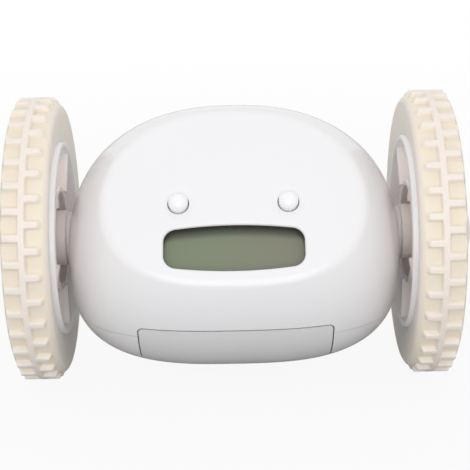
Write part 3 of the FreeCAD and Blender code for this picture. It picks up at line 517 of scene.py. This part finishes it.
def displayMaterial():
    d = display
    material, tree, shader = newMaterial("displayBlank")
    across, up = panelPlaces(tree, -2300, 0)[:2]
    sweep = rangeNode(tree, across, -d["sweep"] * mm, d["sweep"] * mm, -1300, 300)
    ramp = place(tree, "ShaderNodeValToRGB", -1050, 300)
    ramp.color_ramp.elements[0].color = linear(*d["left"])
    ramp.color_ramp.elements[1].color = linear(*d["right"])
    tree.links.new(sweep.outputs["Result"], ramp.inputs["Fac"])
    grain = place(tree, "ShaderNodeTexNoise", -1050, 0)
    grain.inputs["Scale"].default_value = d["grainScale"]
    grain.inputs["Detail"].default_value = 2.0
    tree.links.new(tree.nodes["Texture Coordinate"].outputs["Object"], grain.inputs["Vector"])
    mottle = mixTones(tree, d["grain"], ramp.outputs["Color"], grain.outputs["Color"], -600, 200,
                      blend_type="MULTIPLY")
    span = mathNode(tree, "ABSOLUTE", across, None, -1500, -200)
    share = mathNode(tree, "DIVIDE", span, d["halfWidth"] * mm, -1300, -200)
    bow = mathNode(tree, "POWER", share, 2.0, -1100, -200)
    drop = mathNode(tree, "MULTIPLY", bow, d["bulge"] * mm, -900, -200)
    edge = mathNode(tree, "SUBTRACT", d["top"] * mm, drop, -700, -200)
    fromTop = mathNode(tree, "SUBTRACT", edge, up, -500, -200)
    sideRoom = mathNode(tree, "SUBTRACT", d["halfWidth"] * mm, span, -1100, -400)
    lower = mathNode(tree, "MULTIPLY", fromTop, d["lowerShare"], -700, -400)
    inward = mathNode(tree, "MULTIPLY", sideRoom, d["sideShare"], -900, -400)
    fromSide = mathNode(tree, "ADD", inward, lower, -500, -400)
    nearest = place(tree, "ShaderNodeMath", -300, -300, operation="SMOOTH_MIN")
    nearest.inputs[2].default_value = d["blend"] * mm
    tree.links.new(fromTop, nearest.inputs[0])
    tree.links.new(fromSide, nearest.inputs[1])
    fade = rangeNode(tree, nearest.outputs[0], d["dark"] * mm, d["clear"] * mm, -100, -250,
                     interpolation_type="SMOOTHSTEP")
    # painted shadow: the display's tone darkens towards the window's upper edge and upper sides
    tone = mixTones(tree, fade.outputs["Result"], linear(*d["shadowTone"]), mottle, -300, 150)
    tree.links.new(tone, shader.inputs["Base Color"])
    shader.inputs["Roughness"].default_value = d["rough"]
    shader.inputs["Coat Weight"].default_value = d["coat"]
    shader.inputs["Coat Roughness"].default_value = d["coatRough"]
    return material


# a cell in a dark sleeve that leaves the can bare at both ends
cell = {
    "sleeve": (52, 56, 64), "can": (196, 196, 198), "sleeveEnd": 18, "scuffScale": 300.0,
    "rough": (0.22, 0.4), "metallic": 0.5,
}


def cellMaterial():
    material, tree, shader = newMaterial("cellSleeve")
    coords = place(tree, "ShaderNodeTexCoord", -1300, 0)
    split = place(tree, "ShaderNodeSeparateXYZ", -1100, 0)
    scuff = place(tree, "ShaderNodeTexNoise", -900, -200)
    scuff.inputs["Scale"].default_value = cell["scuffScale"]
    tree.links.new(coords.outputs["Object"], split.inputs["Vector"])
    tree.links.new(coords.outputs["Object"], scuff.inputs["Vector"])
    along = mathNode(tree, "ABSOLUTE", split.outputs["X"], None, -900, 100)
    ends = mathNode(tree, "GREATER_THAN", along, cell["sleeveEnd"] * mm, -700, 100)
    tone = mixTones(tree, ends, linear(*cell["sleeve"]), linear(*cell["can"]), -400, 100)
    rough = place(tree, "ShaderNodeMapRange", -650, -200)
    rough.inputs["To Min"].default_value = cell["rough"][0]
    rough.inputs["To Max"].default_value = cell["rough"][1]
    tree.links.new(scuff.outputs["Fac"], rough.inputs["Value"])
    tree.links.new(tone, shader.inputs["Base Color"])
    tree.links.new(rough.outputs["Result"], shader.inputs["Roughness"])
    shader.inputs["Metallic"].default_value = cell["metallic"]
    return material


materials["displayBlank"] = displayMaterial()
materials["cellSleeve"] = cellMaterial()
print("materials made")


finishes = {
    "front_shell": "faceWhite", "rear_shell": "shellWhite",
    "base_tray": "shellWhite", "battery_door": "doorShadedWhite",
    "snooze_button": "buttonLitWhite", "left_eye_button": "buttonLitWhite", "right_eye_button": "buttonLitWhite",
    "time_button": "controlGrey", "alarm_button": "controlGrey", "mode_slider": "controlGrey",
    "display_glass": "displayBlank", "display_frame": "innerPlastic", "display_connectors": "rubberGrey",
    "main_board": "boardGreen", "rear_board": "boardGreen",
    "eye_switches": "switchBlack", "rear_switches": "switchBlack", "buzzer": "switchBlack",
    "battery_contacts": "contactNickel", "battery_springs": "contactNickel",
    "board_screws": "steelBright", "case_screws": "steelBright", "gearbox_screws": "steelBright",
    "gear_pins": "steelBright", "axle_bushes": "bushBrass",
}
sideFinishes = {
    "tyre": "tyreCream", "rim": "rimWhite", "hub_cap": "rimWhite",
    "axle": "steelBright", "hub_screw": "steelBright",
    "output_gear": "gearPlastic", "second_gear": "gearPlastic", "first_gear": "gearPlastic",
    "motor_pinion": "bushBrass", "motor_rotor": "steelBright", "motor_can": "motorSteel",
    "motor_end_cap": "innerPlastic",
    "gearbox_inner_plate": "innerPlastic", "gearbox_outer_plate": "innerPlastic",
}
for number in range(1, 5):
    finishes[f"battery_cell_{number}"] = "cellSleeve"
for side in ("left", "right"):
    for piece, material in sideFinishes.items():
        finishes[f"{side}_{piece}"] = material
for name, material in finishes.items():
    slots = nodes[name].material_slots
    if not slots:
        nodes[name].data.materials.append(materials[material])
    for slot in slots:
        slot.material = materials[material]
print("finishes on", len(finishes), "nodes")


# tyre: a ring at the level of its pockets, with a rib and two rows of bars raised from it
tyre = {
    "floor": 42.7, "top": 44.5, "columns": 216, "pitch": 10.0, "barColumns": 2,
    "innerRow": 54.9, "rib": 59.25, "outerRow": 61.65, "outerRowEnd": 66.2,
    "flare": 0.3, "topDepth": 0.2, "endSlope": 0.5, "endRound": 0.6, "endSteps": 3, "cornerTurn": 0.6,
    "edge": 0.28, "edgeSteps": 2, "sharp": 38, "smooth": 50,
    "innerSide": [(54.3, 30.5), (53.9, 34.0), (53.45, 38.0), (53.2, 40.2), (53.35, 41.2), (53.8, 42.0),
                  (54.4, 42.5)],
    "outerSide": [(66.5, 42.55), (66.7, 42.1), (66.7, 38.0), (66.7, 34.0), (66.7, 30.5), (54.3, 30.5)],
}


def turnOf(point):
    return math.degrees(math.atan2(point.y, point.z - axleHeight)) % 360


def radiusOf(point):
    return math.hypot(point.y, point.z - axleHeight) / mm


def makeTyre():
    t = tyre
    rows = [(t[key], t["floor"]) for key in ("innerRow", "rib", "outerRow", "outerRowEnd")]
    piece = turnProfile("rightTyre", t["innerSide"] + rows + t["outerSide"], t["columns"])
    cleanNormals(piece)
    half = t["barColumns"] / 2 * 360 / t["columns"]

    def away(point, offset):
        # degrees to the middle of the nearest bar
        return abs((turnOf(point) - offset + t["pitch"] / 2) % t["pitch"] - t["pitch"] / 2)

    def raised(centre, normal):
        if abs(radiusOf(centre) - t["floor"]) > near or not t["innerRow"] < centre.x / mm < t["outerRowEnd"]:
            return False
        onRib = t["rib"] < centre.x / mm < t["outerRow"]
        offset = t["pitch"] / 2 if centre.x / mm < t["rib"] else 0
        return onRib or away(centre, offset) < half

    def innerTop(first, second):
        high = min(radiusOf(first), radiusOf(second)) > t["top"] - t["topDepth"]
        return high and max(first.x, second.x) / mm < t["innerRow"] + t["flare"] + near

    def innerCorner(first, second):
        upright = abs(radiusOf(first) - radiusOf(second)) > 1
        atEnd = max(first.x, second.x) / mm < t["innerRow"] + t["flare"] + t["endSlope"] + near
        return upright and atEnd and away(first, t["pitch"] / 2) > t["cornerTurn"]

    startEdit(piece)
    print("tread faces", selectFaces(piece, raised))
    bpy.ops.mesh.inset(thickness=t["flare"] * mm, depth=(t["top"] - t["floor"]) * mm, use_even_offset=True)
    selectEdges(piece, innerTop)
    bpy.ops.transform.translate(value=(t["endSlope"] * mm, 0, 0))
    print("bar corners", selectEdges(piece, innerCorner))
    bpy.ops.mesh.bevel(offset=t["endRound"] * mm, segments=t["endSteps"], affect="EDGES")
    endEdit()
    addModifier(piece, "BEVEL", width=t["edge"] * mm, segments=t["edgeSteps"], limit_method="ANGLE",
                angle_limit=math.radians(t["sharp"]), use_clamp_overlap=False)
    smooth(piece, t["smooth"])
    return piece


# rim: a lip that stands out of the tyre, ribs before the web, the collar and the dome around the hub
rim = {
    "x": 52.8, "endX": 65.5, "barrel": 30.45, "lip": 28.75, "lipRound": 0.75, "lipCorner": 0.22,
    "webX": 56.6, "webWall": 1.5, "webRing": 22.0, "webRound": 0.8, "webCorner": 0.2,
    "collarX": 54.5, "collarRound": 0.35, "footRound": 0.6, "footCorner": 0.15,
    "dome": 16.5, "domeWall": 2.0, "domeX": 62.6, "domeHeight": 12.0,
    "innerRings": (14.1, 13.4, 12.2, 10.6), "outerRings": (10.0, 11.8, 13.4, 14.7, 15.6, 16.2),
    "hub": 8.75, "hubX": 52.35, "hubRound": 0.4, "hubRingX": 58.0, "faceRing": 5.0, "bore": 1.55,
    "recess": 7.25, "recessX": 64.0, "cap": 8.3, "capX": 70.9, "capDrop": 0.1, "capGap": 0.15,
    "segments": 160, "smooth": 40,
}
ribs = {"count": 5, "turn": 266.0, "x": 53.5, "wall": 1.4, "edge": 0.25, "edgeSteps": 2, "sunk": 0.8}


def makeRibs():
    # thin walls from the collar to the barrel, as one object
    low, high = rim["dome"] - ribs["sunk"], rim["lip"] + ribs["sunk"]
    depth = rim["webX"] + rim["webWall"] / 2 - ribs["x"]
    reach = (low + high) / 2 * mm
    made = []
    for index in range(ribs["count"]):
        turn = math.radians(ribs["turn"] + 360 * index / ribs["count"])
        middle = ((ribs["x"] + depth / 2) * mm, reach * math.cos(turn), axleHeight + reach * math.sin(turn))
        size = (depth * mm, (high - low) * mm, ribs["wall"] * mm)
        deselectAll()
        bpy.ops.mesh.primitive_cube_add(size=1, location=middle, rotation=(turn, 0, 0), scale=size)
        rib = bpy.context.object
        applyPlace(rib)
        startEdit(rib)
        selectEdges(rib, lambda first, second: max(first.x, second.x) / mm < ribs["x"] + near)
        bpy.ops.mesh.bevel(offset=ribs["edge"] * mm, segments=ribs["edgeSteps"], affect="EDGES")
        endEdit()
        made.append(rib)
    deselectAll()
    for rib in made:
        rib.select_set(True)
    bpy.context.view_layer.objects.active = made[0]
    bpy.ops.object.join()
    return made[0]


def domeX(radius, inset=0.0):
    # how far out the dome lies at a radius, or its inner side with the wall as inset
    share = radius / (rim["dome"] - inset)
    return rim["domeX"] + (rim["domeHeight"] - inset) * math.sqrt(max(0.0, 1 - share ** 2))


def makeRim():
    r = rim
    webEnd = r["webX"] + r["webWall"]
    domeInner = r["dome"] - r["domeWall"]
    stations = [
        # the lip on the inner side and the web
        (r["x"] + r["lipRound"], r["barrel"]), (r["x"] + r["lipCorner"], r["barrel"] - r["lipCorner"]),
        (r["x"], r["barrel"] - r["lipRound"]), (r["x"], r["lip"] + r["lipRound"]),
        (r["x"] + r["lipCorner"], r["lip"] + r["webCorner"]), (r["x"] + r["lipRound"], r["lip"]),
        (r["webX"] - r["webRound"], r["lip"]), (r["webX"] - r["webCorner"], r["lip"] - r["webCorner"]),
        (r["webX"], r["lip"] - r["webRound"]), (r["webX"], r["webRing"]),
        # the collar and the inside of the dome
        (r["webX"], r["dome"] + r["footRound"]), (r["webX"] - r["webCorner"], r["dome"] + r["footCorner"]),
        (r["webX"] - r["footRound"], r["dome"]), (r["collarX"] + r["collarRound"], r["dome"]),
        (r["collarX"], r["dome"] - r["collarRound"]), (r["collarX"], domeInner + r["collarRound"]),
        (r["collarX"] + r["collarRound"], domeInner), (r["webX"], domeInner), (r["domeX"], domeInner),
    ]
    stations += [(domeX(radius, r["domeWall"]), radius) for radius in r["innerRings"]]
    stations += [
        # the hub, its bore and the recess that the cap closes
        (domeX(r["hub"], r["domeWall"]), r["hub"]), (r["recessX"], r["hub"]), (r["hubRingX"], r["hub"]),
        (r["hubX"] + r["hubRound"], r["hub"]), (r["hubX"], r["hub"] - r["hubRound"]),
        (r["hubX"], r["faceRing"]), (r["hubX"], r["bore"]), (r["recessX"], r["bore"]),
        (r["recessX"], r["recess"]), (r["capX"], r["recess"]), (r["capX"], r["cap"]),
        (domeX(r["cap"]) - r["capDrop"], r["cap"]), (domeX(r["cap"] + r["capGap"]), r["cap"] + r["capGap"]),
    ]
    stations += [(domeX(radius), radius) for radius in r["outerRings"]]
    stations += [
        # the foot of the dome, the web's outer side and the outer lip
        (r["domeX"] + r["footRound"], r["dome"]), (webEnd + r["footRound"], r["dome"]),
        (webEnd + r["footCorner"], r["dome"] + r["footCorner"]), (webEnd, r["dome"] + r["footRound"]),
        (webEnd, r["webRing"]), (webEnd, r["lip"] - r["webRound"]),
        (webEnd + r["webCorner"], r["lip"] - r["webCorner"]), (webEnd + r["webRound"], r["lip"]),
        (r["endX"] - r["lipRound"], r["lip"]), (r["endX"] - r["lipCorner"], r["lip"] + r["webCorner"]),
        (r["endX"], r["lip"] + r["lipRound"]), (r["endX"], r["barrel"] - r["lipRound"]),
        (r["endX"] - r["lipCorner"], r["barrel"] - r["lipCorner"]), (r["endX"] - r["lipRound"], r["barrel"]),
        (r["x"] + r["lipRound"], r["barrel"]),
    ]
    piece = turnProfile("rightRim", stations, r["segments"])
    cleanNormals(piece)
    walls = makeRibs()
    addModifier(piece, "BOOLEAN", object=walls, operation="UNION", solver="EXACT")
    bpy.data.objects.remove(walls)
    smooth(piece, r["smooth"])
    return piece


def fitWheel(right, label, values, finishName):
    # dresses the right piece, mirrors it for the left wheel, and sets each on its own body
    right.data.materials.clear()
    right.data.materials.append(materials[finishName])
    left = mirrorCopy(right, "left" + label)
    smooth(left, values["smooth"])
    for piece, side in ((right, "right"), (left, "left")):
        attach(piece, side + "_wheel")
        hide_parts(f"{side}_{label.lower()}")


rightTyre = makeTyre()
rightRim = makeRim()
fitWheel(rightTyre, "Tyre", tyre, "tyreCream")
fitWheel(rightRim, "Rim", rim, "rimWhite")
print("wheels made")


# camera at the viewing angle, with a slight roll; its focal length and shift are in pixels of the width
camera = {
    "elevation": 20.0, "distance": 407.0, "roll": 1.14, "focal": 1281.0, "width": 470.0,
    "leftOf": 1.1, "above": 0.6, "sensor": 36, "clipStart": 10,
}


def makeCamera():
    c = camera
    tilt = math.radians(c["elevation"])
    deselectAll()
    away = Vector((0, -math.cos(tilt), math.sin(tilt))) * c["distance"] * mm
    bpy.ops.object.camera_add(location=Vector((0, 0, axleHeight)) + away)
    eye = bpy.context.object
    look = Matrix.Rotation(math.pi / 2 - tilt, 4, "X") @ Matrix.Rotation(math.radians(-c["roll"]), 4, "Z")
    eye.rotation_euler = look.to_euler()
    eye.data.sensor_width = c["sensor"]
    eye.data.lens = c["focal"] / c["width"] * c["sensor"]
    eye.data.shift_x = c["leftOf"] / c["width"]
    eye.data.shift_y = -c["above"] / c["width"]
    eye.data.clip_start = c["clipStart"] * mm
    scene.camera = eye


# light and surroundings, in metres: a pale room, one panel in front and a floor that whitens with distance
studio = {
    "world": 0.84,
    "lightPower": 2.6, "lightSize": 0.7, "lightAt": (0.0, -0.9, 0.35), "lightAim": (0, 0, 0.04),
    "floorSize": 3.0, "floorDrop": 0.0002, "floorTone": 0.5, "floorRough": 0.9,
    "nearWhite": 0.92, "shadowReach": 0.08, "whiteFrom": 0.5,
}


def makeLight():
    deselectAll()
    bpy.ops.object.light_add(type="AREA", location=studio["lightAt"])
    light = bpy.context.object
    light.name = "frontLight"
    light.data.size = studio["lightSize"]
    light.data.energy = studio["lightPower"]
    direction = Vector(studio["lightAim"]) - Vector(studio["lightAt"])
    light.rotation_euler = direction.to_track_quat("-Z", "Y").to_euler()


def makeWorld():
    # the room lights the clock evenly, and is white where it is seen, mirrored or seen through glass
    world = bpy.data.worlds.new("paleRoom")
    scene.world = world
    world.use_nodes = True
    tree = world.node_tree
    background = tree.nodes["Background"]
    background.inputs["Color"].default_value = (1, 1, 1, 1)
    path = place(tree, "ShaderNodeLightPath", -700, 200)
    rays = path.outputs
    seen = mathNode(tree, "MAXIMUM", rays["Is Camera Ray"], rays["Is Transmission Ray"], -550, 200)
    white = mathNode(tree, "MAXIMUM", seen, rays["Is Glossy Ray"], -400, 200)
    strength = place(tree, "ShaderNodeMix", -200, 100, data_type="FLOAT")
    strength.inputs["A"].default_value = studio["world"]
    strength.inputs["B"].default_value = 1.0
    tree.links.new(white, strength.inputs["Factor"])
    tree.links.new(strength.outputs["Result"], background.inputs["Strength"])


def makeFloor():
    deselectAll()
    bpy.ops.mesh.primitive_plane_add(size=studio["floorSize"], location=(0, 0, -studio["floorDrop"]))
    floor = bpy.context.object
    floor.name = "floor"
    material, tree, shader = newMaterial("floorPale")
    link = tree.links.new
    tone = studio["floorTone"]
    shader.inputs["Base Color"].default_value = (tone, tone, tone, 1)
    shader.inputs["Roughness"].default_value = studio["floorRough"]
    coords = place(tree, "ShaderNodeTexCoord", -700, 500)
    reach = place(tree, "ShaderNodeVectorMath", -500, 500, operation="LENGTH")
    link(coords.outputs["Object"], reach.inputs[0])
    share = rangeNode(tree, reach.outputs["Value"], studio["shadowReach"], studio["whiteFrom"], -300, 500)
    share.inputs["To Min"].default_value = studio["nearWhite"]
    path = place(tree, "ShaderNodeLightPath", -300, 300)
    white = mathNode(tree, "MULTIPLY", path.outputs["Is Camera Ray"], share.outputs["Result"], 0, 300)
    glow = place(tree, "ShaderNodeEmission", 0, -300)
    above = place(tree, "ShaderNodeMixShader", 300, 0)
    link(white, above.inputs["Fac"])
    link(shader.outputs["BSDF"], above.inputs[1])
    link(glow.outputs["Emission"], above.inputs[2])
    clear = place(tree, "ShaderNodeBsdfTransparent", 300, -200)  # from below, the floor is clear
    sides = place(tree, "ShaderNodeNewGeometry", 300, 300)
    whole = place(tree, "ShaderNodeMixShader", 550, 0)
    link(sides.outputs["Backfacing"], whole.inputs["Fac"])
    link(above.outputs["Shader"], whole.inputs[1])
    link(clear.outputs["BSDF"], whole.inputs[2])
    link(whole.outputs["Shader"], tree.nodes["Material Output"].inputs["Surface"])
    floor.data.materials.append(material)


makeCamera()
makeLight()
makeWorld()
makeFloor()
print("camera and studio made")
